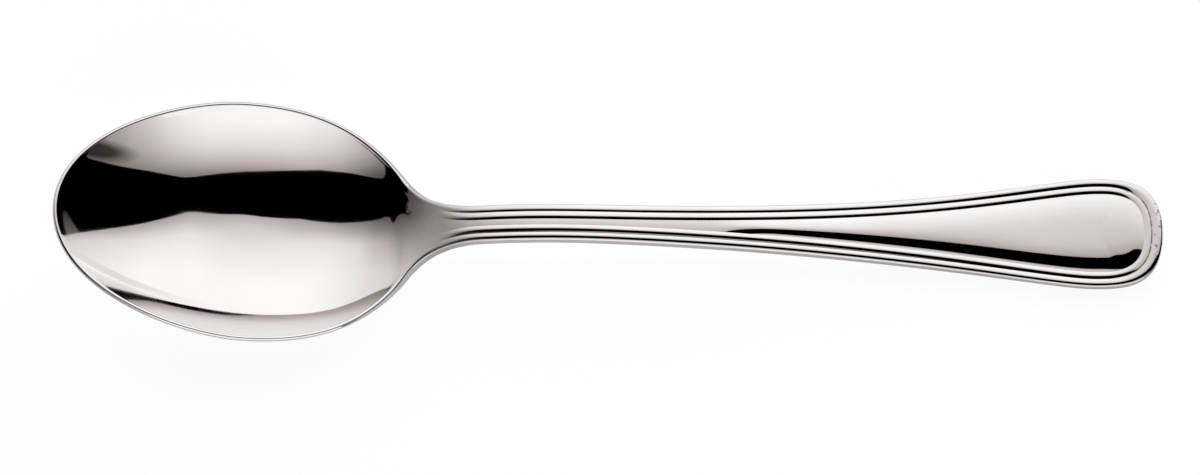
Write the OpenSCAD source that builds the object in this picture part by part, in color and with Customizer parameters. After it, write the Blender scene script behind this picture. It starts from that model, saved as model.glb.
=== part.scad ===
// Demitasse spoon: one polished steel stamping, divided at its natural seams into named solids.
// Millimetres, +Z up, the long axis on X with the bowl tip at -X, resting on Z = 0.

/* [Overall] */
// Length from the bowl tip to the handle end
overall_length = 110; // [106:1:116]
// Height of the middle of the bowl's sheet above the table at the tip
tip_height = 11.5; // [10.9:0.1:12.1]

/* [Bowl] */
// Width across the rim
bowl_width = 24.5; // [22:0.5:27]
// Distance from the tip to the widest place
bowl_widest_at = 18.9; // [18:0.1:20]
// Thickness of the sheet in the bowl
bowl_wall = 1; // [0.8:0.1:1.2]
// Thickness left at the rim, where the sheet thins out on its outer side
rim_thickness = 0.55; // [0.4:0.05:0.7]
// Angle between the rim and the table
bowl_pitch = 13.6; // [12.6:0.1:14.2]
// Fullness of the dish: 2 is a paraboloid, more is flatter in the middle and steeper at the rim
dish_fullness = 2.5; // [2.2:0.1:3]
// Roundness of the outline at the tip
tip_fullness = 8; // [7.2:0.1:8.6]
// Roundness of the outline ahead of the widest place
front_fullness = 7; // [6.2:0.1:8.2]
// Roundness of the outline behind the widest place
back_fullness = 8.8; // [7.8:0.1:9.8]

/* [Neck] */
// Distance from the tip to the shoulder, where the bowl turns into the neck
shoulder_at = 34.9; // [34:0.1:36]
// Width across the shoulder
shoulder_width = 10.1; // [9.2:0.1:11.2]
// Angle between the outline and the long axis at the shoulder
shoulder_angle = 51.8; // [46:0.1:56]
// Distance from the tip to the start of the even stem
stem_at = 42.7; // [42:0.1:44]
// Slope of the neck as it climbs from the bowl
neck_climb = 20; // [18:0.5:22]

/* [Handle] */
// Width of the stem at its narrowest
stem_width = 3.7; // [3.4:0.1:4.2]
// Width of the handle end
end_width = 11.1; // [9.5:0.1:12.5]
// Thickness of the stem at its edges
stem_thickness = 2.1; // [1.8:0.1:2.4]
// Rise of the stem's middle above its edges
stem_crown = 0.14; // [0.06:0.02:0.2]
// Thickness at the threads of the handle end
end_thickness = 1.8; // [1.6:0.1:2]
// Length of the rounded end, from the widest place to the tip of the handle
end_round = 6.5; // [5.5:0.1:7.5]
// Rounding of the back edges
back_rounding = 1; // [0.7:0.1:1.2]

/* [Threads] */
// Width of the outer thread along the sides
outer_thread_width = 0.8; // [0.7:0.05:0.9]
// Width of the outer thread at the handle end
end_thread_width = 1.1; // [0.8:0.05:1.3]
// Width of the inner thread
inner_thread_width = 0.75; // [0.6:0.05:0.8]
// Depth of the grooves between the threads
groove_depth = 0.09; // [0.06:0.01:0.14]
// Height of the rounding on the outer side of the outer thread
bead_height = 0.22; // [0.15:0.01:0.3]
// Depth from the top of the threads to the core that carries them
seat_depth = 0.5; // [0.4:0.05:0.6]
// Slope of the cushion-shaped panel at its edge
panel_edge_angle = 34; // [26:1:40]
// Width over which the panel's edge levels out at the handle end
panel_margin = 0.66; // [0.5:0.02:0.8]

/* [Hidden] */

// Colour of polished steel
steel = [0.82, 0.82, 0.83];

// Side view: straight runs joined by rounded bends, each bend with its place and half length
neck_bend_at = shoulder_at;
neck_bend = 2;
crest_lag = 1.8;
crest_bend_at = stem_at + crest_lag;
crest_bend = 12;
landing_bend = 16;
flat_lead = 0.5;
landing_at = overall_length - end_round - flat_lead - landing_bend;
bowl_fall = tan(bowl_pitch);
climb = tan(neck_climb);
crest_height = tip_height - bowl_fall * neck_bend_at + climb * (crest_bend_at - neck_bend_at);
handle_fall = (crest_height - end_thickness / 2) / (landing_at - crest_bend_at);

// Plan view: where the outline's curves meet, and the reach of their handles
stem_run = 6.7;
flare_at = stem_at + stem_run;
pole = [overall_length - end_round, 0];
shoulder_reach = 4.8;
neck_reach = 3.9;
stem_reach = 2.1;
flare_reach = 36;
end_reach = 5.8;
end_side_reach = 3.1;
end_tip_reach = 5.2;
shoulder = [shoulder_at, shoulder_width / 2];
shoulder_heading = [cos(shoulder_angle), -sin(shoulder_angle)];
bowl_widest = [bowl_widest_at, bowl_width / 2];
stem_start = [stem_at, stem_width / 2];
flare_start = [flare_at, stem_width / 2];
end_widest = [pole.x, end_width / 2];

front_curve = [
    [0, 0],
    [0, tip_fullness],
    bowl_widest - [front_fullness, 0],
    bowl_widest
];
back_curve = [
    bowl_widest,
    bowl_widest + [back_fullness, 0],
    shoulder - shoulder_reach * shoulder_heading,
    shoulder
];
neck_curve = [
    shoulder,
    shoulder + neck_reach * shoulder_heading,
    stem_start - [stem_reach, 0],
    stem_start
];
stem_curve = [
    stem_start,
    stem_start + [stem_run / 3, 0],
    flare_start - [stem_run / 3, 0],
    flare_start
];
flare_curve = [
    flare_start,
    flare_start + [flare_reach, 0],
    end_widest - [end_reach, 0],
    end_widest
];
end_curve = [
    end_widest,
    end_widest + [end_side_reach, 0],
    [overall_length, end_tip_reach],
    [overall_length, 0]
];
// Radius of the outline at the bowl tip
tip_radius = 1.5 * tip_fullness ^ 2 / (bowl_widest_at - front_fullness);

// Lengths over which the grooves and the panel's cushion grow, and the stem's crown fades
groove_lead = 5;
groove_run = 4.5;
groove_start = stem_at - groove_lead;
groove_full = groove_start + groove_run;
cushion_lag = 15.6;
cushion_run = 7;
cushion_start = flare_at + cushion_lag;
cushion_full = cushion_start + cushion_run;
crown_fade = 18;
crown_fade_lead = 2;
crown_end = pole.x - crown_fade_lead;
// Margins of the panel where it is narrowest and at the tip of the end, and its half width at the end
narrow_margin = 0.3;
tip_margin = 1.2;
end_panel_half = end_width / 2 - outer_thread_width - inner_thread_width;
// The relief softens round the tip of the end, where this share of the grooves is lost
softening_lag = 2;
softening_lead = 1;
groove_loss = 0.8;
// The dish of the bowl fades out over this run, and the sheet thickens
dish_lead = 1.5;
dish_end = stem_at - dish_lead;
dish_fade = 9;
thickening_lag = 6;
thickening_start = bowl_widest_at + thickening_lag;
// How late the wall thins towards the rim: 1 is evenly from the middle
rim_taper = 3;
// How far the wall leans out at the rim
rim_lean = 43;
// Flat land between the upper and the lower rounding of the rim
rim_land = 0.08;

// Steps of the skins
front_steps = 18;
back_steps = 14;
neck_steps = 12;
stem_steps = 3;
flare_steps = 22;
end_steps = 12;
panel_steps = 6;
thread_steps = 6;
top_steps = panel_steps + thread_steps + thread_steps / 2;
upper_edge_steps = 4;
lower_edge_steps = 4;
// Crowding of the panel's points towards its edge: 1 is even
panel_crowding = 1.8;
// Step used to measure slopes
probe = 0.01;

function unit(v) = v / norm(v);
function mix(a, b, t) = a + (b - a) * t;
function same(a, b) = norm(a - b) < 0.00001;
function mirrored(p) = [p.x, -p.y, p.z];
// Smooth step from 0 at a to 1 at b
function ease(a, b, x) =
    let (t = max(0, min(1, (x - a) / (b - a))))
    t ^ 3 * (t * (6 * t - 15) + 10);
// Ramp that starts at 0 with its corner rounded over half length r
function bend(u, r) =
    let (v = (u + r) / (2 * r))
    u <= -r ? 0 : u >= r ? u : 2 * r * (v ^ 3 - v ^ 4 / 2);

function curve_point(p, t) =
    let (u = 1 - t)
    u ^ 3 * p[0] + 3 * u ^ 2 * t * p[1] + 3 * u * t ^ 2 * p[2] + t ^ 3 * p[3];
function curve_heading(p, t) =
    let (u = 1 - t)
    unit(u ^ 2 * (p[1] - p[0]) + 2 * u * t * (p[2] - p[1]) + t ^ 2 * (p[3] - p[2]));
// Stations on a curve: point and heading
function stations(p, steps, first) =
    [for (i = [first : steps]) [curve_point(p, i / steps), curve_heading(p, i / steps)]];

bowl_stations = concat(stations(front_curve, front_steps, 0), stations(back_curve, back_steps, 1));
neck_stations = stations(neck_curve, neck_steps, 0);
handle_stations = concat(
    stations(stem_curve, stem_steps, 0),
    stations(flare_curve, flare_steps, 1),
    stations(end_curve, end_steps, 1)
);

// Height of the middle of the edge in side view, its slope, and the upward normal there
function height(x) =
    tip_height - bowl_fall * x
    + (bowl_fall + climb) * bend(x - neck_bend_at, neck_bend)
    - (climb + handle_fall) * bend(x - crest_bend_at, crest_bend)
    + handle_fall * bend(x - landing_at, landing_bend);
function slope(x) = (height(x + probe) - height(x - probe)) / (2 * probe);
function lift(x) = unit([-slope(x), 0, 1]);

// Sizes of the section along the spoon
function joined(x) = ease(shoulder_at, groove_start, x);
function half_thickness(x) =
    mix(bowl_wall, mix(stem_thickness, end_thickness, ease(flare_at, pole.x, x)),
        ease(thickening_start, stem_at, x)) / 2;
function thread_width(x) = mix(outer_thread_width, end_thread_width, ease(pole.x, overall_length, x));
function edge_round(x) = mix(rim_thickness / 2, thread_width(x) / 2, joined(x));
function back_round(x) = mix(rim_thickness / 2, back_rounding, ease(thickening_start, stem_at, x));
// Thickness at the edge: thin round the bowl, full along the handle
function edge_thickness(x) = mix(rim_thickness, 2 * half_thickness(x), ease(thickening_start, stem_at, x));
// How soft the relief is: 0 along the sides, 1 at the tip of the end
function softened(x) = ease(pole.x + softening_lag, overall_length - softening_lead, x);
function groove(x) = groove_depth * ease(groove_start, groove_full, x) * (1 - groove_loss * softened(x));
// Height of the upper rounding of the edge: down to the land of the rim, a low bead on the handle
function bead(x) = mix(rim_thickness / 2 - rim_land, bead_height, joined(x));
// Rise of the crowned stem at distance d from an outline that lies reach from the axis
function crowned(d, reach, x) =
    stem_crown * ease(groove_start, groove_full, x) * (1 - ease(crown_end - crown_fade, crown_end, x))
    * (1 - (1 - d / reach) ^ 2);
// Chain curve turned over: rises from 0 with slope 1 at the edge, and is level at distance u
function cosh(u) = (exp(u) + exp(-u)) / 2;
function sinh(u) = (exp(u) - exp(-u)) / 2;
function hung(share, u) = (cosh(u) - cosh((1 - share) * u)) / sinh(u);
// Rise of the cushion at a share of the way from its edge to its middle
function cushion(share, half, x) =
    let (
        run = min(half, end_panel_half),
        side = mix(narrow_margin, panel_margin, run / end_panel_half),
        margin = mix(side, tip_margin, ease(pole.x, overall_length, x)),
        rise = side * hung(1, run / side) * hung(share, run / margin) / hung(1, run / margin)
    )
    tan(panel_edge_angle) * ease(cushion_start, cushion_full, x) * rise;

// The bowl's dish lies under the rim, as deep as the table allows, and runs out into the neck
function dish_share(x) = 1 - ease(dish_end - dish_fade, dish_end, x);
function dish_share_slope(x) = (dish_share(x + probe) - dish_share(x - probe)) / (2 * probe);
// From the outline in to the middle of the leaning sheet's end: the rim's outermost line is the outline
function rim_inset(x) =
    edge_round(x) - (half_thickness(x) - edge_thickness(x) / 2) * sin(rim_lean) * dish_share(x);
function rim_point(st) = st[0] + rim_inset(st[0].x) * [st[1].y, -st[1].x];
rim_half = bowl_width / 2 - rim_inset(bowl_widest_at);
// Depth of the dish and its growth where w ^ 2 - y ^ 2 is q, with w from the axis to the rim
function bulge(q) = rim_half ^ 2 * (1 - max(0, 1 - q / rim_half ^ 2) ^ (dish_fullness / 2));
function bulge_growth(q) = dish_fullness / 2 * max(0, 1 - q / rim_half ^ 2) ^ (dish_fullness / 2 - 1);
dish = min([for (st = stations(back_curve, back_steps, 0))
    let (r = rim_point(st))
    (height(r.x) - half_thickness(r.x)) / (bulge(r.y ^ 2) * dish_share(r.x))]);

// Middle surface at (x, y) where the rim line is w from the axis, and its normal
function middle(x, y, w) = [x, y, height(x) - dish * dish_share(x) * bulge(w ^ 2 - y ^ 2)];
function middle_normal(x, y, w, growth) =
    let (
        q = w ^ 2 - y ^ 2,
        steepness = dish * dish_share(x) * bulge_growth(q)
    )
    unit([dish * dish_share_slope(x) * bulge(q) + steepness * growth - slope(x), -2 * steepness * y, 1]);

// Distance from the outline of top point i: even over the bowl, on the threads along the handle
function even_inset(i, half, c) = mix(half, c, i / top_steps);
function panel_share(i) = (1 - i / panel_steps) ^ panel_crowding;
function thread_inset(i, half, x) =
    let (
        outer = thread_width(x),
        both = outer + inner_thread_width
    )
    i <= panel_steps
        ? both + (half - both) * panel_share(i)
        : i <= panel_steps + thread_steps
            ? both - inner_thread_width * (i - panel_steps) / thread_steps
            : mix(outer, outer / 2, (i - panel_steps - thread_steps) * 2 / thread_steps);
// How far the top lies under the crests of the threads, as a share of the groove depth
function thread_drop(d, x) =
    let (outer = thread_width(x))
    d <= outer
        ? (2 * d / outer - 1) ^ 2
        : d <= outer + inner_thread_width
            ? (2 * (d - outer) / inner_thread_width - 1) ^ 2
            : 1;

// How nearly the sheet has its full thickness, at a share of the way out to the rim's inner side at low
function filled(x, low, share) =
    let (full = x < bowl_widest_at ? rim_half : low)
    1 - max(0, 1 - (low / full) ^ 2 * (1 - share ^ 2)) ^ (rim_taper / 2);

// Half section of the bowl and neck: top from the axis out, round the edge, and back below
function shell_section(st) =
    let (
        c = edge_round(st[0].x),
        rim = rim_point(st),
        x = rim.x,
        w = rim.y,
        growth = st[1].x < 0.001 ? 2 * (tip_radius - rim_inset(x)) : 2 * w * st[1].y / st[1].x,
        h = half_thickness(x),
        rim_middle = middle(x, w, w),
        rim_normal = middle_normal(x, w, w, growth),
        outward = unit(cross(rim_normal, [st[1].x, st[1].y, slope(x) * st[1].x])),
        edge = edge_thickness(x) / 2,
        side = rim_middle + c * outward,
        low = w + c - back_round(x),
        low_normal = middle_normal(x, low, w, growth),
        low_middle = middle(x, low, w) + (h - edge) * low_normal,
        low_side = side + (h - edge) * rim_normal
    )
    concat(
        [for (i = [0 : top_steps])
            let (
                d = mix(even_inset(i, w + c, c), thread_inset(i, w + c, x), joined(x)),
                y = i == top_steps ? w : w + c - d,
                z = h + crowned(d, w + c, x) - groove(x) * thread_drop(d, x)
            )
            middle(x, y, w) + z * middle_normal(x, y, w, growth)],
        [for (i = [1 : upper_edge_steps])
            let (
                a = 90 * i / upper_edge_steps,
                z = h + crowned(c * (1 - sin(a)), w + c, x) - bead(x) * (1 - cos(a))
            )
            rim_middle + sin(a) * (side - rim_middle) + z * rim_normal],
        [side + mix(h - bead(x), h - seat_depth, joined(x)) * rim_normal, low_side],
        [for (i = [1 : lower_edge_steps])
            let (a = 90 - 90 * i / lower_edge_steps)
            low_middle + sin(a) * (low_side - low_middle) - edge * cos(a) * low_normal],
        [for (i = [1 : top_steps])
            let (
                share = 1 - i / top_steps,
                z = mix(2 * edge - h, h, filled(x, low, share))
            )
            middle(x, low * share, w) - z * middle_normal(x, low * share, w, growth)]
    );

// Handle: a rib runs from the outline straight across to the axis, and to the pole in the rounded end
function rib(st) = st[0].x <= pole.x ? [0, -1] : unit(pole - st[0]);
function rib_length(st) = st[0].x <= pole.x ? st[0].y : norm(pole - st[0]);
function handle_point(st, d, z) =
    let (q = st[0] + d * rib(st))
    [q.x, q.y, height(q.x)] + z * lift(q.x);
function top_point(st, d, drop) =
    let (x = st[0].x)
    handle_point(st, d, half_thickness(x) + crowned(d, rib_length(st), x) - drop);
function thread_point(st, i) =
    let (x = st[0].x, d = thread_inset(i, rib_length(st), x))
    top_point(st, d, groove(x) * thread_drop(d, x));
function bead_point(st, a) =
    let (x = st[0].x)
    top_point(st, edge_round(x) * (1 - sin(a)), bead(x) * (1 - cos(a)));
function panel_point(st, i) =
    let (
        x = st[0].x,
        reach = rib_length(st),
        d = thread_inset(i, reach, x),
        half = reach - thread_width(x) - inner_thread_width,
        share = panel_share(i),
        base = mix(groove_depth, groove(x), (1 - share) ^ 2)
    )
    top_point(st, d, base - cushion(share, half, x));
function seat_point(st, d) = handle_point(st, d, half_thickness(st[0].x) - seat_depth);

function core_section(st) =
    let (x = st[0].x, h = half_thickness(x), r = back_round(x))
    concat(
        [seat_point(st, rib_length(st)), seat_point(st, 0), handle_point(st, 0, 0)],
        [for (i = [1 : lower_edge_steps])
            let (a = 90 - 90 * i / lower_edge_steps)
            handle_point(st, r * (1 - sin(a)), -h * cos(a))],
        [handle_point(st, rib_length(st), -h)]
    );
function outer_thread_section(st) =
    concat(
        [seat_point(st, thread_width(st[0].x))],
        [for (i = [top_steps - thread_steps / 2 : top_steps]) thread_point(st, i)],
        [for (i = [1 : upper_edge_steps]) bead_point(st, 90 * i / upper_edge_steps)],
        [seat_point(st, 0)]
    );
function inner_thread_section(st) =
    let (outer = thread_width(st[0].x))
    concat(
        [seat_point(st, outer + inner_thread_width)],
        [for (i = [panel_steps : panel_steps + thread_steps]) thread_point(st, i)],
        [seat_point(st, outer)]
    );
function panel_section(st) =
    concat(
        [for (i = [0 : panel_steps]) panel_point(st, i)],
        [for (i = [panel_steps : -1 : 0]) seat_point(st, thread_inset(i, rib_length(st), st[0].x))]
    );

// Keeps the triangles of a four-cornered patch that have three different corners
function patch(a, b, c, d) =
    [for (t = [[a, b, c], [a, c, d]]) if (t[0] != t[1] && t[1] != t[2] && t[2] != t[0]) t];
// Number of the first grid point at the same place, so that ends may close to a point
function first_same(grid, i, k) =
    k > 0 && same(grid[i][k], grid[i][k - 1])
        ? first_same(grid, i, k - 1)
        : i > 0 && same(grid[i][k], grid[i - 1][k])
            ? first_same(grid, i - 1, k)
            : i * len(grid[0]) + k;

// Solid through half sections and their mirror images, with flat ends where asked for
module half_loft(grid, close_first, close_last) {
    rows = len(grid);
    size = len(grid[0]);
    total = rows * size;
    right = [for (row = grid) each row];
    far = [for (i = [0 : rows - 1]) [for (k = [0 : size - 1]) first_same(grid, i, k)]];
    near = [for (row = far) [for (n = row) abs(right[n].y) < 0.00001 ? n : n + total]];
    skins = [for (i = [0 : rows - 2]) for (k = [0 : size - 2]) each concat(
        patch(far[i][k], far[i + 1][k], far[i + 1][k + 1], far[i][k + 1]),
        patch(near[i][k], near[i][k + 1], near[i + 1][k + 1], near[i + 1][k])
    )];
    halves = [for (k = [0 : floor((size - 1) / 2) - 1]) k];
    first = [if (close_first) for (k = halves) each concat(
        patch(far[0][k], far[0][k + 1], far[0][size - 2 - k], far[0][size - 1 - k]),
        patch(near[0][k], near[0][size - 1 - k], near[0][size - 2 - k], near[0][k + 1])
    )];
    z = rows - 1;
    last = [if (close_last) for (k = halves) each concat(
        patch(far[z][k], far[z][size - 1 - k], far[z][size - 2 - k], far[z][k + 1]),
        patch(near[z][k], near[z][k + 1], near[z][size - 2 - k], near[z][size - 1 - k])
    )];
    polyhedron(concat(right, [for (p = right) mirrored(p)]), concat(skins, first, last));
}

// Solid swept round the handle through far-side sections and their mirror images
module round_sweep(sections) {
    size = len(sections[0]);
    rings = concat(
        sections,
        [for (i = [len(sections) - 2 : -1 : 0]) [for (p = sections[i]) mirrored(p)]]
    );
    z = (len(rings) - 1) * size;
    skins = [for (i = [0 : len(rings) - 2]) for (k = [0 : size - 1]) each patch(
        i * size + k,
        (i + 1) * size + k,
        (i + 1) * size + (k + 1) % size,
        i * size + (k + 1) % size
    )];
    first = [[for (k = [0 : size - 1]) k]];
    last = [[for (k = [size - 1 : -1 : 0]) z + k]];
    polyhedron([for (ring = rings) each ring], concat(skins, first, last));
}

module placed() {
    color(steel) translate([-overall_length / 2, 0, 0]) children();
}

module bowl() {
    placed() half_loft([for (st = bowl_stations) shell_section(st)], false, true);
}

module neck() {
    placed() half_loft([for (st = neck_stations) shell_section(st)], true, true);
}

module handle_core() {
    placed() half_loft([for (st = handle_stations) core_section(st)], true, false);
}

module outer_thread() {
    placed() round_sweep([for (st = handle_stations) outer_thread_section(st)]);
}

module inner_thread() {
    placed() round_sweep([for (st = handle_stations) inner_thread_section(st)]);
}

module centre_panel() {
    placed() half_loft([for (st = handle_stations) panel_section(st)], true, false);
}

bowl();
neck();
handle_core();
outer_thread();
inner_thread();
centre_panel();
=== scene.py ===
import math

import bpy
import numpy as np
from mathutils import Matrix, Vector


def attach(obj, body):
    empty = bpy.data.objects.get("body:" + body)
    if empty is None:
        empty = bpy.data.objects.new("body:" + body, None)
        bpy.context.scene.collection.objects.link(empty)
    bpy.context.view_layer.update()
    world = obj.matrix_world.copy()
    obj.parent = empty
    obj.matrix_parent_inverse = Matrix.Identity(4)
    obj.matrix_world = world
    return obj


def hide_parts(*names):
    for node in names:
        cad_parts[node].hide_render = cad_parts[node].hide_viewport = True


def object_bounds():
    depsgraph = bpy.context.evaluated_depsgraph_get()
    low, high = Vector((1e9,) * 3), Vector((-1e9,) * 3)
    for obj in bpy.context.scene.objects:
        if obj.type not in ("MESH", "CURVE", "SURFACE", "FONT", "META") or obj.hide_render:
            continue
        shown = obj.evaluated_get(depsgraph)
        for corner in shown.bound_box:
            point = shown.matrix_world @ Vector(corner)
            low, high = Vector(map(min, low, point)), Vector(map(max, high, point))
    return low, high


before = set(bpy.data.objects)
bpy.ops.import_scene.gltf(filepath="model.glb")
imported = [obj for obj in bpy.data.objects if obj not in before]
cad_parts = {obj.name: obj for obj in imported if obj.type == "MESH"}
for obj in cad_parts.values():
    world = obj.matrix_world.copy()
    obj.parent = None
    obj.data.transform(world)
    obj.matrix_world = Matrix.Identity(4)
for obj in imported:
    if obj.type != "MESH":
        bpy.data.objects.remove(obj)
cad_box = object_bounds()
MM = 0.001

# Sizes in millimetres, the same as in the part's source, with x measured from the bowl tip.
LENGTH = 110.0
TIP_HEIGHT = 11.5
BOWL_WIDTH = 24.5
BOWL_WIDEST_AT = 18.9
BOWL_WALL = 1.0
RIM_THICKNESS = 0.55
BOWL_PITCH = 13.6
DISH_FULLNESS = 2.5
TIP_FULLNESS = 8.0
FRONT_FULLNESS = 7.0
BACK_FULLNESS = 8.8
SHOULDER_AT = 34.9
SHOULDER_WIDTH = 10.1
SHOULDER_ANGLE = 51.8
STEM_AT = 42.7
NECK_CLIMB = 20.0
STEM_WIDTH = 3.7
END_WIDTH = 11.1
STEM_THICKNESS = 2.1
END_THICKNESS = 1.8
END_ROUND = 6.5
BACK_ROUNDING = 1.0
OUTER_THREAD = 0.8
END_THREAD = 1.1
INNER_THREAD = 0.75
GROOVE_DEPTH = 0.09
BEAD_HEIGHT = 0.22
SEAT_DEPTH = 0.5
STEM_CROWN = 0.14
PANEL_EDGE = math.tan(math.radians(34.0))
PANEL_MARGIN = 0.66
NARROW_MARGIN = 0.3
TIP_MARGIN = 1.2
GROOVE_LOSS = 0.8

# Side view: places and half lengths of the bends.
NECK_BEND = 2.0
CREST_LAG = 1.8
CREST_AT = STEM_AT + CREST_LAG
CREST_BEND = 12.0
LANDING_BEND = 16.0
FLAT_LEAD = 0.5
LANDING_AT = LENGTH - END_ROUND - LANDING_BEND - FLAT_LEAD
BOWL_FALL = math.tan(math.radians(BOWL_PITCH))
CLIMB = math.tan(math.radians(NECK_CLIMB))
CREST_HEIGHT = TIP_HEIGHT - BOWL_FALL * SHOULDER_AT + CLIMB * (CREST_AT - SHOULDER_AT)
HANDLE_FALL = (CREST_HEIGHT - END_THICKNESS / 2) / (LANDING_AT - CREST_AT)

# Plan view: places along the spoon, and the reach of the outline's curves.
STEM_RUN = 6.7
FLARE_AT = STEM_AT + STEM_RUN
SHOULDER_REACH = 4.8
NECK_REACH = 3.9
STEM_REACH = 2.1
FLARE_REACH = 36.0
END_REACH = 5.8
END_SIDE_REACH = 3.1
END_TIP_REACH = 5.2
POLE = LENGTH - END_ROUND
TIP_RADIUS = 1.5 * TIP_FULLNESS**2 / (BOWL_WIDEST_AT - FRONT_FULLNESS)
GROOVE_START = STEM_AT - 5.0
GROOVE_FULL = GROOVE_START + 4.5
CUSHION_START = FLARE_AT + 15.6
CUSHION_FULL = CUSHION_START + 7.0
SOFTENING_START = POLE + 2.0
SOFTENING_END = LENGTH - 1.0
CROWN_END = POLE - 2.0
CROWN_FADE = 18.0
END_PANEL_HALF = END_WIDTH / 2 - OUTER_THREAD - INNER_THREAD
DISH_END = STEM_AT - 1.5
DISH_FADE = 9.0
THICKENING_START = BOWL_WIDEST_AT + 6.0
RIM_LEAN = math.sin(math.radians(43.0))
RIM_LAND = 0.08
RIM_CHECKS = 14
WALL_FILL = 1.5

# Steps of the skin: along the spoon, and across each half section.
FRONT_N, BACK_N, NECK_N, STEM_N, FLARE_N, END_N = 70, 60, 44, 12, 90, 44
PANEL_N, INNER_N, OUTER_N = 30, 16, 9
UPPER_N, LOWER_N, BACK_HALF_N = 14, 14, 20
TOP_N = PANEL_N + INNER_N + OUTER_N
MERGE = 0.00002 * MM
PANEL_CROWDING = 1.5
SLOPE_STEP = 0.01
UPRIGHT = 0.001


def ease(a, b, x):
    t = min(1.0, max(0.0, (x - a) / (b - a)))
    return t**3 * (t * (6 * t - 15) + 10)


def mix(a, b, t):
    return a + (b - a) * t


def bend(u, r):
    """Zero before a bend of half length r and u after it, rounded between."""
    if u <= -r:
        return 0.0
    if u >= r:
        return u
    v = (u + r) / (2 * r)
    return 2 * r * (v**3 - v**4 / 2)


def height(x):
    return (
        TIP_HEIGHT
        - BOWL_FALL * x
        + (BOWL_FALL + CLIMB) * bend(x - SHOULDER_AT, NECK_BEND)
        - (CLIMB + HANDLE_FALL) * bend(x - CREST_AT, CREST_BEND)
        + HANDLE_FALL * bend(x - LANDING_AT, LANDING_BEND)
    )


def slope(x):
    return (height(x + SLOPE_STEP) - height(x - SLOPE_STEP)) / (2 * SLOPE_STEP)


def unit(v):
    v = np.asarray(v, float)
    return v / np.linalg.norm(v)


def curve(points, steps, first):
    p = [np.asarray(q, float) for q in points]
    out = []
    for i in range(first, steps + 1):
        t = i / steps
        u = 1 - t
        at = u**3 * p[0] + 3 * u * u * t * p[1] + 3 * u * t * t * p[2] + t**3 * p[3]
        go = u * u * (p[1] - p[0]) + 2 * u * t * (p[2] - p[1]) + t * t * (p[3] - p[2])
        out.append((at, unit(go)))
    return out


widest = np.array([BOWL_WIDEST_AT, BOWL_WIDTH / 2])
shoulder = np.array([SHOULDER_AT, SHOULDER_WIDTH / 2])
heading = np.array([math.cos(math.radians(SHOULDER_ANGLE)), -math.sin(math.radians(SHOULDER_ANGLE))])
stem = np.array([STEM_AT, STEM_WIDTH / 2])
flare = np.array([FLARE_AT, STEM_WIDTH / 2])
end_widest = np.array([POLE, END_WIDTH / 2])
along = np.array([1.0, 0.0])

front_curve = [(0, 0), (0, TIP_FULLNESS), widest - FRONT_FULLNESS * along, widest]
back_curve = [widest, widest + BACK_FULLNESS * along, shoulder - SHOULDER_REACH * heading, shoulder]
neck_curve = [shoulder, shoulder + NECK_REACH * heading, stem - STEM_REACH * along, stem]
stem_curve = [stem, stem + STEM_RUN / 3 * along, flare - STEM_RUN / 3 * along, flare]
flare_curve = [flare, flare + FLARE_REACH * along, end_widest - END_REACH * along, end_widest]
end_curve = [end_widest, end_widest + END_SIDE_REACH * along, (LENGTH, END_TIP_REACH), (LENGTH, 0)]


def joined(x):
    return ease(SHOULDER_AT, GROOVE_START, x)


def half_thickness(x):
    """Half the thickness of the sheet on its middle line."""
    handle = mix(STEM_THICKNESS, END_THICKNESS, ease(FLARE_AT, POLE, x))
    return mix(BOWL_WALL, handle, ease(THICKENING_START, STEM_AT, x)) / 2


def thread_width(x):
    return mix(OUTER_THREAD, END_THREAD, ease(POLE, LENGTH, x))


def edge_round(x):
    return mix(RIM_THICKNESS / 2, thread_width(x) / 2, joined(x))


def back_round(x):
    return mix(RIM_THICKNESS / 2, BACK_ROUNDING, ease(THICKENING_START, STEM_AT, x))


def edge_thickness(x):
    return mix(RIM_THICKNESS, 2 * half_thickness(x), ease(THICKENING_START, STEM_AT, x))


def softened(x):
    return ease(SOFTENING_START, SOFTENING_END, x)


def groove(x):
    return GROOVE_DEPTH * ease(GROOVE_START, GROOVE_FULL, x) * (1 - GROOVE_LOSS * softened(x))


def bead(x):
    return mix(RIM_THICKNESS / 2 - RIM_LAND, BEAD_HEIGHT, joined(x))


def crowned(d, reach, x):
    painted_glow = ease(GROOVE_START, GROOVE_FULL, x) * (1 - ease(CROWN_END - CROWN_FADE, CROWN_END, x))
    return STEM_CROWN * painted_glow * (1 - (1 - d / reach) ** 2)


def hung(share, u):
    """Rise of a turned-over chain curve at a share of its run."""
    return (math.cosh(u) - math.cosh((1 - share) * u)) / math.sinh(u)


def cushion(share, half, x):
    run = min(half, END_PANEL_HALF)
    side = mix(NARROW_MARGIN, PANEL_MARGIN, run / END_PANEL_HALF)
    margin = mix(side, TIP_MARGIN, ease(POLE, LENGTH, x))
    rise = side * hung(1, run / side) * hung(share, run / margin) / hung(1, run / margin)
    return PANEL_EDGE * ease(CUSHION_START, CUSHION_FULL, x) * rise


def dish_share(x):
    return 1 - ease(DISH_END - DISH_FADE, DISH_END, x)


def dish_share_slope(x):
    return (dish_share(x + SLOPE_STEP) - dish_share(x - SLOPE_STEP)) / (2 * SLOPE_STEP)


def rim_inset(x):
    return edge_round(x) - (half_thickness(x) - edge_thickness(x) / 2) * RIM_LEAN * dish_share(x)


def rim_point(st):
    return st[0] + rim_inset(st[0][0]) * np.array([st[1][1], -st[1][0]])


RIM_HALF = BOWL_WIDTH / 2 - rim_inset(BOWL_WIDEST_AT)


def bulge(q):
    return RIM_HALF**2 * (1 - max(0.0, 1 - q / RIM_HALF**2) ** (DISH_FULLNESS / 2))


def bulge_growth(q):
    return DISH_FULLNESS / 2 * max(0.0, 1 - q / RIM_HALF**2) ** (DISH_FULLNESS / 2 - 1)


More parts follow.
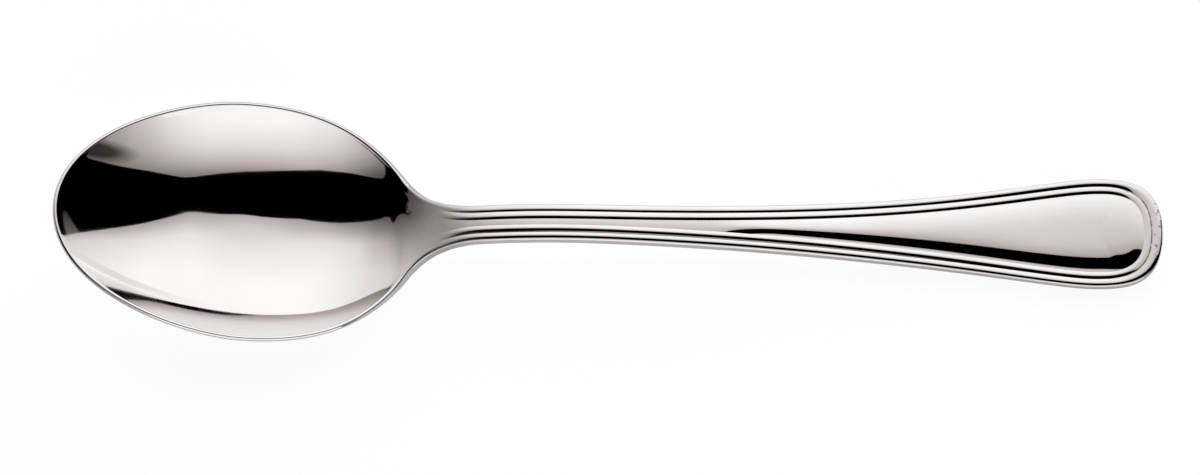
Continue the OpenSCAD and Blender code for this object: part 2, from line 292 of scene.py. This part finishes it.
def dish_depth():
    """Depth of the dish, as a share of its bulge, at which the bowl just touches the table."""
    shares = []
    for st in curve(back_curve, RIM_CHECKS, 0):
        r = rim_point(st)
        shares.append((height(r[0]) - half_thickness(r[0])) / (bulge(r[1] ** 2) * dish_share(r[0])))
    return min(shares)


DISH = dish_depth()


def middle(x, y, w):
    return np.array([x, y, height(x) - DISH * dish_share(x) * bulge(w * w - y * y)])


def middle_normal(x, y, w, growth):
    q = w * w - y * y
    steepness = DISH * dish_share(x) * bulge_growth(q)
    fall = DISH * dish_share_slope(x) * bulge(q) + steepness * growth - slope(x)
    return unit([fall, -2 * steepness * y, 1])


def panel_share(i):
    return (1 - i / PANEL_N) ** PANEL_CROWDING


def thread_inset(i, half, x):
    outer = thread_width(x)
    both = outer + INNER_THREAD
    if i <= PANEL_N:
        return both + (half - both) * panel_share(i)
    if i <= PANEL_N + INNER_N:
        return both - INNER_THREAD * (i - PANEL_N) / INNER_N
    return mix(outer, outer / 2, (i - PANEL_N - INNER_N) / OUTER_N)


def thread_drop(d, x):
    outer = thread_width(x)
    if d <= outer:
        return (2 * d / outer - 1) ** 2
    if d <= outer + INNER_THREAD:
        return (2 * (d - outer) / INNER_THREAD - 1) ** 2
    return 1.0


def filled(x, low, share):
    """How far the back has thickened from the rim to the full wall, from 0 to 1."""
    full = RIM_HALF if x < BOWL_WIDEST_AT else low
    return 1 - max(0.0, 1 - (low / full) ** 2 * (1 - share**2)) ** WALL_FILL


def shell_section(st):
    """Half section of the bowl and neck: top from the axis out, round the edge, and back below."""
    c = edge_round(st[0][0])
    x, w = rim_point(st)
    at_tip = st[1][0] < UPRIGHT
    growth = 2 * (TIP_RADIUS - rim_inset(x)) if at_tip else 2 * w * st[1][1] / st[1][0]
    h = half_thickness(x)
    rim = middle(x, w, w)
    rim_normal = middle_normal(x, w, w, growth)
    outward = unit(np.cross(rim_normal, [st[1][0], st[1][1], slope(x) * st[1][0]]))
    edge = edge_thickness(x) / 2
    side = rim + c * outward
    low = w + c - back_round(x)
    low_normal = middle_normal(x, low, w, growth)
    low_middle = middle(x, low, w) + (h - edge) * low_normal
    low_side = side + (h - edge) * rim_normal
    points = []
    for i in range(TOP_N + 1):
        d = mix(mix(w + c, c, i / TOP_N), thread_inset(i, w + c, x), joined(x))
        y = w if i == TOP_N else w + c - d
        z = h + crowned(d, w + c, x) - groove(x) * thread_drop(d, x)
        points.append(middle(x, y, w) + z * middle_normal(x, y, w, growth))
    for i in range(1, UPPER_N + 1):
        a = math.pi / 2 * i / UPPER_N
        z = h + crowned(c * (1 - math.sin(a)), w + c, x) - bead(x) * (1 - math.cos(a))
        points.append(rim + math.sin(a) * (side - rim) + z * rim_normal)
    points.append(side + mix(h - bead(x), h - SEAT_DEPTH, joined(x)) * rim_normal)
    points.append(low_side)
    for i in range(1, LOWER_N + 1):
        a = math.pi / 2 * (1 - i / LOWER_N)
        points.append(low_middle + math.sin(a) * (low_side - low_middle) - edge * math.cos(a) * low_normal)
    for i in range(1, BACK_HALF_N + 1):
        share = 1 - i / BACK_HALF_N
        z = mix(2 * edge - h, h, filled(x, low, share))
        points.append(middle(x, low * share, w) - z * middle_normal(x, low * share, w, growth))
    return points


def handle_section(st):
    """Half section of the handle, with its points in the same order."""
    x = st[0][0]
    pole = np.array([POLE, 0.0])
    rib = np.array([0.0, -1.0]) if x <= POLE else unit(pole - st[0])
    reach = st[0][1] if x <= POLE else np.linalg.norm(pole - st[0])
    h = half_thickness(x)
    c = edge_round(x)
    r = back_round(x)

    def at(d, z):
        q = st[0] + d * rib
        return np.array([q[0], q[1], height(q[0])]) + z * unit([-slope(q[0]), 0, 1])

    points = []
    for i in range(TOP_N + 1):
        d = thread_inset(i, reach, x)
        z = h + crowned(d, reach, x)
        if i <= PANEL_N:
            share = panel_share(i)
            z -= mix(GROOVE_DEPTH, groove(x), (1 - share) ** 2)
            z += cushion(share, reach - thread_width(x) - INNER_THREAD, x)
        else:
            z -= groove(x) * thread_drop(d, x)
        points.append(at(d, z))
    for i in range(1, UPPER_N + 1):
        a = math.pi / 2 * i / UPPER_N
        d = c * (1 - math.sin(a))
        points.append(at(d, h + crowned(d, reach, x) - bead(x) * (1 - math.cos(a))))
    points.append(at(0.0, h - SEAT_DEPTH))
    points.append(at(0.0, 0.0))
    for i in range(1, LOWER_N + 1):
        a = math.pi / 2 * (1 - i / LOWER_N)
        points.append(at(r * (1 - math.sin(a)), -h * math.cos(a)))
    for i in range(1, BACK_HALF_N + 1):
        points.append(at(mix(r, reach, i / BACK_HALF_N), -h))
    return points


# One continuous skin, so that the polish runs over the seams, then cut into the named pieces.
bowl_rows = [shell_section(s) for s in curve(front_curve, FRONT_N, 0) + curve(back_curve, BACK_N, 1)]
neck_rows = [shell_section(s) for s in curve(neck_curve, NECK_N, 1)]
handle_rows = [
    handle_section(s)
    for s in curve(stem_curve, STEM_N, 1) + curve(flare_curve, FLARE_N, 1) + curve(end_curve, END_N, 1)
]
grid = np.array(bowl_rows + neck_rows + handle_rows)
grid[:, :, 0] -= LENGTH / 2
grid *= MM
grid = np.clip(grid, np.array(cad_box[0]), np.array(cad_box[1]))
rows, size = grid.shape[:2]
mirror = grid * np.array([1.0, -1.0, 1.0])
points = np.concatenate([grid.reshape(-1, 3), mirror.reshape(-1, 3)])
keys = np.round(points / MERGE).astype(np.int64)
_, first, same = np.unique(keys, axis=0, return_index=True, return_inverse=True)
same = same.reshape(-1)
skin_points = points[first]

BOWL_ROWS = len(bowl_rows)
NECK_ROWS = BOWL_ROWS + len(neck_rows)
SEAT_K = TOP_N + UPPER_N + 1


def piece_of(i, k):
    if i + 1 < BOWL_ROWS:
        return "bowl"
    if i + 1 < NECK_ROWS:
        return "neck"
    if k < PANEL_N:
        return "centre_panel"
    if k < PANEL_N + INNER_N:
        return "inner_thread"
    if k < SEAT_K:
        return "outer_thread"
    return "handle_core"


faces = {n: [] for n in ("bowl", "neck", "handle_core", "outer_thread", "inner_thread", "centre_panel")}
total = rows * size
for i in range(rows - 1):
    for k in range(size - 1):
        corners = (i * size + k, (i + 1) * size + k, (i + 1) * size + k + 1, i * size + k + 1)
        for shift, order in ((0, (3, 2, 1, 0)), (total, (0, 1, 2, 3))):
            ring = []
            for o in order:
                n = int(same[corners[o] + shift])
                if n not in ring:
                    ring.append(n)
            if len(ring) > 2:
                faces[piece_of(i, k)].append(ring)


def skin_normals():
    """Normals of the whole skin, by area, so that they agree on both sides of a seam."""
    normals = np.zeros_like(skin_points)
    for ring_list in faces.values():
        for ring in ring_list:
            a, b = skin_points[ring[0]], skin_points[ring[1]]
            for j in range(2, len(ring)):
                c = skin_points[ring[j]]
                n = np.cross(b - a, c - a)
                for m in (ring[0], ring[j - 1], ring[j]):
                    normals[m] += n
                b = c
    return normals / np.maximum(np.linalg.norm(normals, axis=1, keepdims=True), 1e-30)


def groove_marks():
    """Marks the bottom of the groove between the threads, which is darkened round the end."""
    marks = np.zeros(len(skin_points))
    for i in range(NECK_ROWS, rows):
        for step, mark in ((-2, 0.25), (-1, 0.9), (0, 1.0), (1, 0.9)):
            spot = i * size + PANEL_N + INNER_N + step
            marks[[same[spot], same[spot + total]]] = mark
    return marks


class Net:
    """A node tree with short names for the nodes that the materials share."""

    def __init__(self, tree):
        self.nodes, self.links = tree.nodes, tree.links

    def add(self, kind, **inputs):
        node = self.nodes.new(kind)
        for name, value in inputs.items():
            self.put(node, name.replace("_", " "), value)
        return node

    def put(self, node, name, value):
        if isinstance(value, bpy.types.NodeSocket):
            self.links.new(value, node.inputs[name])
        else:
            node.inputs[name].default_value = value

    def xyz(self, vector):
        outputs = self.add("ShaderNodeSeparateXYZ", Vector=vector).outputs
        return outputs["X"], outputs["Y"], outputs["Z"]

    def math(self, kind, a, b=0.0, c=0.0):
        node = self.nodes.new("ShaderNodeMath")
        node.operation = kind
        for i, value in enumerate((a, b, c)):
            self.put(node, i, value)
        return node.outputs[0]

    def times(self, first, *others):
        for other in others:
            first = self.math("MULTIPLY", first, other)
        return first

    def length(self, x, y):
        return self.math("SQRT", self.math("MULTIPLY_ADD", x, x, self.times(y, y)))

    def ramp(self, value, low, high, a, b):
        """Result that goes from a to b while the value goes from low to high."""
        node = self.add("ShaderNodeMapRange", Value=value)
        for name, number in (("From Min", low), ("From Max", high), ("To Min", a), ("To Max", b)):
            node.inputs[name].default_value = number
        return node.outputs["Result"]

    def table(self, value, stops):
        """Grey level read from a short list of stops."""
        low, high = stops[0][0], stops[-1][0]
        node = self.add("ShaderNodeValToRGB", Fac=self.ramp(value, low, high, 0.0, 1.0))
        bar = node.color_ramp
        bar.interpolation = "CARDINAL"
        while len(bar.elements) < len(stops):
            bar.elements.new(0.5)
        for spot, (at, level) in zip(bar.elements, stops):
            spot.position = (at - low) / (high - low)
            spot.color = (level, level, level, 1.0)
        return node.outputs["Color"]

    def mix(self, factor, a, b):
        """Colour a, turning to colour b as the factor grows."""
        node = self.nodes.new("ShaderNodeMix")
        node.data_type = "RGBA"
        for name, value in (("Factor", factor), ("A", a), ("B", b)):
            self.put(node, name, value)
        return node.outputs["Result"]

    def noise(self, vector, scale, detail, stretch=(1, 1, 1)):
        """Cloudy noise, drawn out along the axes where the stretch is below 1."""
        mapping = self.add("ShaderNodeMapping", Vector=vector, Scale=stretch)
        node = self.add("ShaderNodeTexNoise", Vector=mapping.outputs["Vector"], Scale=scale, Detail=detail)
        return node.outputs["Fac"]


# Colours of the steel: polished, satin at the neck, and specked and darkened at the handle end.
STEEL_DARK = (0.84, 0.83, 0.825, 1)
STEEL_LIGHT = (0.88, 0.87, 0.865, 1)
SATIN = (0.66, 0.645, 0.63, 1)
SATIN_ROUGHNESS = 0.34
END_DARK_BROWN = (0.14, 0.11, 0.08, 1)


def from_tip(x):
    """Place along the frame in metres, from millimetres behind the bowl tip."""
    return (x - LENGTH / 2) * MM


def neck_softness(net, spot):
    """Softer polish of the neck: its border is ragged on the far side and gradual elsewhere."""
    x, y, _ = net.xyz(spot)
    wobble = net.ramp(net.noise(spot, scale=900, detail=2), 0.3, 0.7, -0.35, 0.35)
    ragged = net.math("MULTIPLY_ADD", wobble, MM, x)
    sharp = net.ramp(ragged, from_tip(SHOULDER_AT + 0.05), from_tip(SHOULDER_AT + 0.25), 0, 1)
    gradual = net.ramp(x, from_tip(SHOULDER_AT - 4.0), from_tip(SHOULDER_AT + 3.5), 0, 1)
    gradual = net.times(gradual, gradual)
    _, _, facing_up = net.xyz(net.add("ShaderNodeNewGeometry").outputs["Normal"])
    far_side = net.times(net.ramp(y, 0.9 * MM, 2.0 * MM, 0, 1), net.ramp(facing_up, 0.0, 0.3, 0, 1))
    start = net.math("MULTIPLY_ADD", net.math("SUBTRACT", sharp, gradual), far_side, gradual)
    return net.times(start, net.ramp(x, from_tip(STEM_AT - 4.5), from_tip(STEM_AT + 1.0), 1, 0))


def end_specks_and_darkening(net, spot):
    """Handle end: darker and warmer towards the end, worn specks at its edge and dark patches along the
    groove bottom.
    """
    x, _, _ = net.xyz(spot)
    at_edge = net.ramp(x, from_tip(LENGTH - 1.2), from_tip(LENGTH - 0.6), 0, 0.9)
    specks = net.times(net.ramp(net.noise(spot, scale=2600, detail=2), 0.6, 0.66, 0, 1), at_edge)
    # The groove bottom round the end is darkened in patches.
    line = net.nodes.new("ShaderNodeAttribute")
    line.attribute_name = "groove_mark"
    patches = net.ramp(net.noise(spot, scale=1800, detail=2), 0.38, 0.58, 0.45, 1)
    round_end = net.ramp(x, from_tip(LENGTH - 4.5), from_tip(LENGTH - 3.5), 0, 0.9)
    groove_darkening = net.times(line.outputs["Fac"], patches, round_end)
    # Darker and warmer towards the end of the handle.
    darker_end = net.ramp(x, from_tip(LENGTH - 10.0), from_tip(LENGTH - 1.5), 0, 0.1)
    return net.math("MAXIMUM", net.math("MAXIMUM", specks, groove_darkening), darker_end)


def polished_steel():
    mat = bpy.data.materials.new("polished_steel")
    mat.use_nodes = True
    net = Net(mat.node_tree)
    bsdf = net.nodes["Principled BSDF"]
    bsdf.inputs["Metallic"].default_value = 1.0
    spot = net.add("ShaderNodeTexCoord").outputs["Object"]
    soft = neck_softness(net, spot)

    clouds = net.ramp(net.noise(spot, scale=140, detail=4), 0.35, 0.65, 0, 1)
    colour = net.mix(clouds, STEEL_DARK, STEEL_LIGHT)
    colour = net.mix(soft, colour, SATIN)
    colour = net.mix(end_specks_and_darkening(net, spot), colour, END_DARK_BROWN)
    net.links.new(colour, bsdf.inputs["Base Color"])

    smears = net.noise(spot, scale=260, detail=5, stretch=(0.35, 1, 1))
    polish = net.ramp(smears, 0.4, 0.75, 0.03, 0.07)
    net.links.new(net.math("MULTIPLY_ADD", soft, SATIN_ROUGHNESS, polish), bsdf.inputs["Roughness"])
    hair = net.add("ShaderNodeBump", Strength=0.012, Distance=0.00002)
    lines = net.noise(spot, scale=2600, detail=3, stretch=(0.06, 1, 1))
    net.links.new(lines, hair.inputs["Height"])
    net.links.new(hair.outputs["Normal"], bsdf.inputs["Normal"])
    return mat


steel = polished_steel()
normals = skin_normals()
marks = groove_marks()
for name, ring_list in faces.items():
    used = sorted({n for ring in ring_list for n in ring})
    place = {n: j for j, n in enumerate(used)}
    mesh = bpy.data.meshes.new(name + "_skin")
    mesh.from_pydata(
        [tuple(skin_points[n]) for n in used], [], [[place[n] for n in ring] for ring in ring_list]
    )
    mesh.polygons.foreach_set("use_smooth", [True] * len(mesh.polygons))
    mesh.normals_split_custom_set_from_vertices([tuple(normals[n]) for n in used])
    mesh.attributes.new("groove_mark", "FLOAT", "POINT").data.foreach_set("value", marks[used])
    mesh.materials.append(steel)
    piece = bpy.data.objects.new(name + "_skin", mesh)
    bpy.context.scene.collection.objects.link(piece)
    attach(piece, "root")
    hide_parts(name)

# Stage: a white table under two soft panels, with a dark slot between them for the camera.
# The panels' places are in panel heights from the point above the bowl.
PANEL_HEIGHT = 0.9
PANEL_LEVEL = 1.17
SPOON_X = -0.03
FAR_EDGE = [
    (-6, 0.5), (-2.44, 0.225), (-2.22, 0.23), (-2.0, 0.31), (-1.76, 0.3), (-1.5, 0.18), (-1.39, 0.085),
    (-1.03, 0.036), (-0.65, 0.068), (-0.17, 0.082), (0.23, 0.09), (0.43, 0.15), (0.59, 0.147), (0.78, 0.118),
    (0.86, 0.125), (1.06, 0.25), (1.49, 0.526), (2.1, 0.902), (3.54, 1.809), (12, 7.1),
]
FAR_CORNERS = [(12, 9), (-6, 9)]
NEAR_EDGE = [
    (3.66, -1.7), (3.56, -1.42), (3.37, -1.277), (2.96, -1.133), (2.05, -0.818), (1.46, -0.629),
    (1.02, -0.445), (0.93, -0.45), (0.73, -0.501), (0.48, -0.549), (0.27, -0.628), (-0.05, -0.734),
    (-0.5, -0.783), (-0.98, -0.786), (-1.17, -0.82), (-1.28, -0.95), (-1.38, -1.25), (-1.387, -1.416),
    (-1.358, -1.698), (-1.25, -1.9), (-1.15, -2.1), (-1.0, -2.4), (-0.9, -3.0),
]
NEAR_CORNERS = [(-0.9, -7), (3.66, -7)]
STAND = [(4.2, 2.22), (8, 4.59), (5.5, 1.75), (4.95, 1.3), (4.5, 1.3), (4.25, 1.6)]

# Walls and table, in metres. The table lies a hair below the flat back, so that the two don't mix.
ROOM_LEFT, ROOM_RIGHT, ROOM_FAR = -5.4, 10.8, 8.1
RIGHT_WALL_START = 6.2
LOW_WALL_HEIGHT = 0.85
LOW_LEFT, LOW_RIGHT, LOW_NEAR, LOW_FAR = -3.6, 3.3, -3.6, 0.5
TABLE_HALF = 9.0
TABLE_TOP = -0.00002
TABLE_SHOWN = 0.872


def flat(name, corners, material):
    mesh = bpy.data.meshes.new(name)
    mesh.from_pydata(corners, [], [list(range(len(corners)))])
    mesh.materials.append(material)
    obj = bpy.data.objects.new(name, mesh)
    bpy.context.scene.collection.objects.link(obj)
    return obj


def ceiling(name, spots, material):
    h = PANEL_HEIGHT
    panel = flat(name, [(SPOON_X + h * x, h * y, h) for x, y in spots], material)
    panel.visible_camera = False


def wall(name, start, end, top, material):
    corners = [(*start, 0.0), (*end, 0.0), (*end, top), (*start, top)]
    flat(name, corners, material).visible_camera = False


def glow_net(name):
    """An empty material for a light, with the place on it."""
    mat = bpy.data.materials.new(name)
    mat.use_nodes = True
    net = Net(mat.node_tree)
    net.nodes.clear()
    return mat, net, net.xyz(net.add("ShaderNodeNewGeometry").outputs["Position"])


def angles(net, place):
    """Degrees from straight up, to the right and to the far side, at which the spoon sees a panel."""
    x = net.math("MULTIPLY_ADD", place[0], 1 / PANEL_HEIGHT, -SPOON_X / PANEL_HEIGHT)
    y = net.times(place[1], 1 / PANEL_HEIGHT)
    span = net.length(x, y)
    turn = net.times(net.math("DIVIDE", net.math("ARCTANGENT", span), span), math.degrees(1.0))
    return net.times(turn, x), net.times(turn, y)


def shine(net, level):
    """Light of that level: white where it is full, warm where it is dim."""
    tone = net.add("ShaderNodeValToRGB", Fac=level)
    stops = tone.color_ramp.elements
    stops.new(0.5)
    colours = ((0.15, (1, 0.89, 0.83)), (0.55, (1, 0.905, 0.91)), (0.92, (1, 1, 1)))
    for stop, (at, colour) in zip(stops, colours):
        stop.position = at
        stop.color = (*colour, 1)
    light = net.add("ShaderNodeEmission", Color=tone.outputs["Color"], Strength=net.times(level, PANEL_LEVEL))
    net.add("ShaderNodeOutputMaterial", Surface=light.outputs["Emission"])


def far_glow():
    """Dim along the slot, and dimmer left of the spoon, less so higher up."""
    mat, net, place = glow_net("far_glow")
    right, far = angles(net, place)
    lean = net.math("MULTIPLY_ADD", net.math("MINIMUM", right, 0.0), 0.15, far)
    off_right = net.math("MAXIMUM", net.math("SUBTRACT", right, 40.0), 0.0)
    lean = net.math("MULTIPLY_ADD", off_right, -0.85, lean)
    fall = net.table(lean, [
        (-6, 0.16), (0, 0.27), (6, 0.40), (12, 0.57), (18, 0.76), (24, 0.83), (30, 0.87), (36, 0.89),
        (42, 0.92), (54, 0.94), (70, 0.94),
    ])
    sides = net.table(right, [
        (-70, 0.62), (-60, 0.71), (-50, 0.78), (-40, 0.81), (-20, 0.88), (0, 0.98), (20, 1.0), (40, 1.0),
        (50, 1.0), (60, 0.9), (70, 0.82), (80, 0.75),
    ])
    dim = net.table(right, [
        (-70, 0.32), (-64, 0.30), (-50, 0.26), (-39, 0.23), (-34, 0.17), (-28, 0.05), (-22, 0.0), (0, 0.0),
    ])
    dim = net.times(dim, net.ramp(far, 28.0, 52.0, 1.0, 0.3))
    shine(net, net.times(fall, sides, net.math("SUBTRACT", 1.0, dim)))
    return mat


def near_glow():
    """Dim along the slot and to both sides, with a smoky patch far to the right."""
    mat, net, place = glow_net("near_glow")
    right, far = angles(net, place)
    lean = net.math("MULTIPLY_ADD", right, 0.2, net.times(far, -1.0))
    fall = net.table(lean, [
        (22, 0.12), (28, 0.2), (34, 0.35), (40, 0.50), (46, 0.62), (52, 0.72), (58, 0.79), (64, 0.85),
        (70, 0.90), (76, 0.92), (90, 0.92),
    ])
    sides = net.table(right, [
        (-55, 0.55), (-40, 0.7), (-30, 0.8), (-20, 0.9), (0, 0.98), (20, 1.0), (40, 0.97), (50, 0.8),
        (60, 0.52), (75, 0.3),
    ])
    smoke_right, smoke_far, smoke_stretch = 68.0, -33.8, 1.3
    smoke = net.length(
        net.math("MULTIPLY_ADD", right, 1 / smoke_stretch, -smoke_right / smoke_stretch),
        net.math("SUBTRACT", far, smoke_far),
    )
    shine(net, net.times(fall, sides, net.ramp(smoke, 4.4, 9.8, 0.13, 1.0)))
    return mat


def wall_glow():
    """Bright behind the spoon, dimmer to the right."""
    mat, net, place = glow_net("wall_glow")
    levels = [(ROOM_LEFT, 0.94), (3.0, 0.94), (4.0, 0.9), (5.5, 0.79), (7.0, 0.74), (ROOM_RIGHT, 0.72)]
    shine(net, net.table(place[0], levels))
    return mat


def stand_glow():
    """A dim stand at the right end of the far panel."""
    mat, net, place = glow_net("stand_glow")
    _, far = angles(net, place)
    shine(net, net.table(far, [(16, 0.01), (22, 0.03), (28, 0.06), (34, 0.1), (42, 0.14)]))
    return mat


def low_glow():
    """Low walls, grey to the left and white on the near side."""
    mat, net, place = glow_net("low_glow")
    right, _ = angles(net, place)
    shine(net, net.table(right, [(-80, 0.16), (-50, 0.16), (-30, 0.3), (-12, 0.7), (0, 0.88), (40, 0.9)]))
    return mat


def table_white():
    """White to the camera, with a faint shadow, and paler in the steel on the far side than near by, from
    painted light: a faint glow round the spoon and a brighter one on the far side.
    """
    mat = bpy.data.materials.new("table_white")
    mat.use_nodes = True
    net = Net(mat.node_tree)
    bsdf = net.nodes["Principled BSDF"]
    bsdf.inputs["Roughness"].default_value = 0.9
    bsdf.inputs["Specular IOR Level"].default_value = 0.0
    bsdf.inputs["Emission Color"].default_value = (1, 1, 1, 1)
    rays = net.add("ShaderNodeLightPath").outputs
    x, y, _ = net.xyz(net.add("ShaderNodeNewGeometry").outputs["Position"])
    # Painted light for glossy rays: a faint glow on the table round the spoon, and a brighter glow on the far
    # side.
    levels = [(0.0, 0.16), (0.08, 0.16), (0.2, 0.06), (0.6, 0.0), (1.0, 0.0)]
    painted_glow = net.math("MAXIMUM", net.table(net.length(x, y), levels), net.ramp(y, 0.03, 0.08, 0.0, 0.43))
    shown = net.times(rays["Is Camera Ray"], TABLE_SHOWN)
    mirrored = net.times(rays["Is Glossy Ray"], painted_glow)
    net.links.new(net.math("ADD", shown, mirrored), bsdf.inputs["Emission Strength"])
    net.links.new(net.ramp(rays["Is Glossy Ray"], 0, 1, 0.3, 0.9), bsdf.inputs["Base Color"])
    return mat


def white_world():
    """White to the camera, and no light on the spoon."""
    world = bpy.data.worlds.new("studio")
    world.use_nodes = True
    net = Net(world.node_tree)
    net.nodes.clear()
    rays = net.add("ShaderNodeLightPath").outputs
    sky = net.add("ShaderNodeBackground", Color=(1, 1, 1, 1), Strength=rays["Is Camera Ray"])
    net.add("ShaderNodeOutputWorld", Surface=sky.outputs["Background"])
    return world


ceiling("far_panel", FAR_EDGE + FAR_CORNERS, far_glow())
ceiling("near_panel", NEAR_EDGE + NEAR_CORNERS, near_glow())
ceiling("stand", STAND, stand_glow())
far_light = wall_glow()
wall("far_wall", (ROOM_LEFT, ROOM_FAR), (ROOM_RIGHT, ROOM_FAR), PANEL_HEIGHT, far_light)
wall("right_wall", (ROOM_RIGHT, RIGHT_WALL_START), (ROOM_RIGHT, ROOM_FAR), PANEL_HEIGHT, far_light)
low_light = low_glow()
wall("near_wall", (LOW_LEFT, LOW_NEAR), (LOW_RIGHT, LOW_NEAR), LOW_WALL_HEIGHT, low_light)
wall("left_wall", (LOW_LEFT, LOW_NEAR), (LOW_LEFT, LOW_FAR), LOW_WALL_HEIGHT, low_light)
signs = ((-1, -1), (1, -1), (1, 1), (-1, 1))
flat("table", [(i * TABLE_HALF, j * TABLE_HALF, TABLE_TOP) for i, j in signs], table_white())
bpy.context.scene.world = white_world()

# Camera: straight across the spoon, high above the near side, with a long lens.
PHOTO_WIDTH = 1200
SPOON_PIXELS, SPOON_SEEN = 1110.5, 0.11051
PIXELS_PER_METRE = SPOON_PIXELS / SPOON_SEEN
ELEVATION = math.radians(75.0)
ROLL = math.radians(-0.16)
DISTANCE = 1.5
SENSOR = 36.0
TARGET = Vector((-0.00094, 0.00014, 0.0))
back = Vector((0.0, -math.cos(ELEVATION), math.sin(ELEVATION)))
right = Vector((1.0, 0.0, 0.0))
upward = back.cross(right)
turn = Matrix((right, upward, back)).transposed() @ Matrix.Rotation(ROLL, 3, "Z")
cam_data = bpy.data.cameras.new("camera")
cam_data.sensor_width = SENSOR
cam_data.lens = SENSOR * DISTANCE / (PHOTO_WIDTH / PIXELS_PER_METRE)
cam_data.clip_end = 60.0
cam = bpy.data.objects.new("camera", cam_data)
bpy.context.scene.collection.objects.link(cam)
cam.matrix_world = Matrix.Translation(TARGET + DISTANCE * back) @ turn.to_4x4()
bpy.context.scene.camera = cam
bpy.context.scene.view_settings.view_transform = "Standard"
